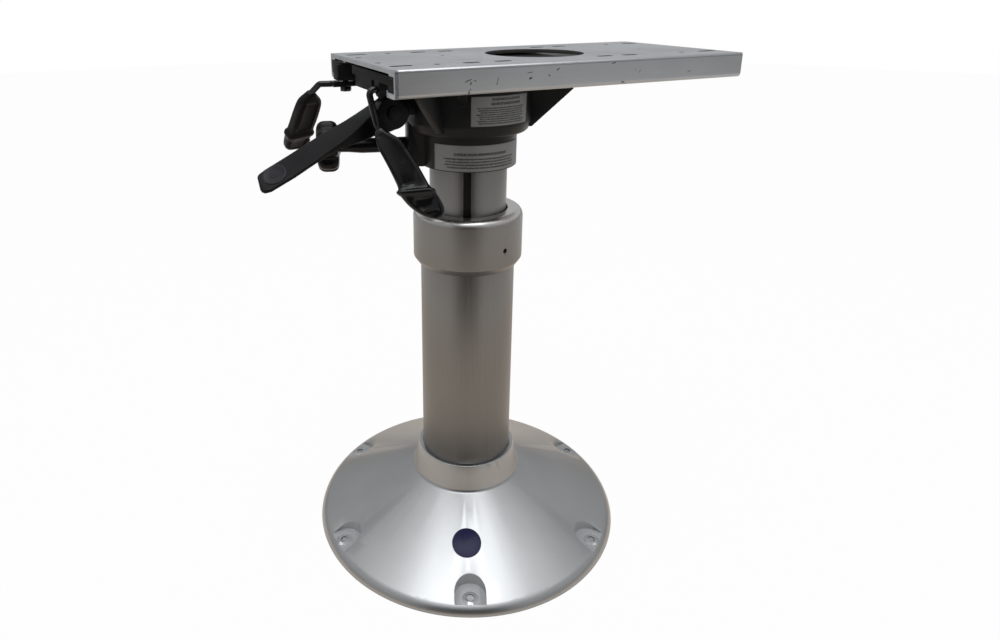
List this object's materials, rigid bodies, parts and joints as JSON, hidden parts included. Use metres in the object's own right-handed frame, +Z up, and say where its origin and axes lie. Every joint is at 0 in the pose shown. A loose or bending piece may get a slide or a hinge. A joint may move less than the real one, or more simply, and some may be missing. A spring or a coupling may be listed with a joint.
{
  "type": "boat seat pedestal",
  "caption": "Boat seat pedestal: a cast floor base and gas-lift column carry a swivelling seat mount with a slotted slide plate and levers.",
  "frame": {"origin": "centre of the base's underside", "axes": "+Z up the column, +X towards the rear of the seat along the slide, +Y towards the slide lock lever's side"},
  "size_m": [0.486, 0.3518, 0.5344],
  "materials": {
    "cast_silver": "satin",
    "tube_silver": "brushed",
    "plate_silver": "satin",
    "cast_black": "satin",
    "black_plastic": "satin",
    "bearing_plastic": "satin",
    "steel": "satin",
    "black_steel": "gloss",
    "label_blue": "gloss",
    "label_silver": "satin"
  },
  "bodies": {
    "base": {"base_casting": "cast_silver", "label_disc": "label_blue", "outer_tube": "tube_silver", "collar": "tube_silver", "collar_set_screw": "black_steel", "guide_bush": "bearing_plastic", "guide_key": "bearing_plastic", "gas_spring_rod": "steel", "foot_nut": "steel"},
    "post": {"inner_tube": "tube_silver", "lower_guide_ring": "bearing_plastic", "gas_spring_cylinder": "black_steel", "top_plug": "steel", "thrust_washer": "bearing_plastic", "retaining_nut": "steel"},
    "valve": {"valve_pin": "steel"},
    "seat_mount": {"seat_mount_casting": "cast_black", "swivel_bush": "bearing_plastic", "upper_label": "label_silver", "lower_label": "label_silver", "glide_near": "bearing_plastic", "glide_far": "bearing_plastic", "lever_pivot_pin": "black_steel", "brake_shoe": "bearing_plastic", "slide_pivot_bolt": "black_steel", "friction_shoe": "bearing_plastic"},
    "slide_top": {"slide_plate": "plate_silver", "slide_stop_pins": "steel"},
    "height_handle": {"height_lever": "black_plastic", "release_arm": "steel"},
    "swivel_handle": {"swivel_lever_rod": "black_steel", "swivel_lever_grip": "black_plastic", "lock_finger": "steel"},
    "slide_handle": {"slide_lever_rod": "black_steel", "slide_lever_hub": "black_steel", "slide_lever_grip": "black_plastic"},
    "knob": {"friction_knob": "black_plastic", "knob_stud": "steel"}
  },
  "joints": [
    {"name": "lift", "type": "slide", "parent": "base", "child": "post", "axis": [0, 0, 1], "range_m": [0, 0.15]},
    {"name": "valve_press", "type": "slide", "parent": "post", "child": "valve", "axis": [0, 0, -1], "range_m": [0, 0.0055]},
    {"name": "swivel", "type": "hinge", "parent": "post", "child": "seat_mount", "pos_m": [0, 0, 0.487], "axis": [0, 0, 1], "continuous": true},
    {"name": "plate_slide", "type": "slide", "parent": "seat_mount", "child": "slide_top", "axis": [-1, 0, 0], "range_m": [0, 0.14]},
    {"name": "height_release", "type": "hinge", "parent": "seat_mount", "child": "height_handle", "pos_m": [-0.096, -0.0265, 0.49], "axis": [0, 1, 0], "range_deg": [0, 3], "stiffness_Nm_per_rad": 2, "springref_deg": -5.73},
    {"name": "swivel_release", "type": "hinge", "parent": "seat_mount", "child": "swivel_handle", "pos_m": [-0.06, -0.05, 0.5138], "axis": [-1, 0, 0], "range_deg": [0, 12], "stiffness_Nm_per_rad": 0.5, "springref_deg": -5.73},
    {"name": "slide_release", "type": "hinge", "parent": "seat_mount", "child": "slide_handle", "pos_m": [-0.109, 0.0655, 0.506], "axis": [0, 0, -1], "range_deg": [0, 12], "stiffness_Nm_per_rad": 0.5, "springref_deg": -5.73},
    {"name": "knob_turn", "type": "hinge", "parent": "seat_mount", "child": "knob", "pos_m": [-0.09613, 0.02756, 0.4475], "axis": [-0.9613, 0.2756, 0], "range_deg": [-180, 180]}
  ],
  "couplings": [
    {"joint": "valve_press", "follows": "height_release", "m_per_rad": 0.096}
  ]
}
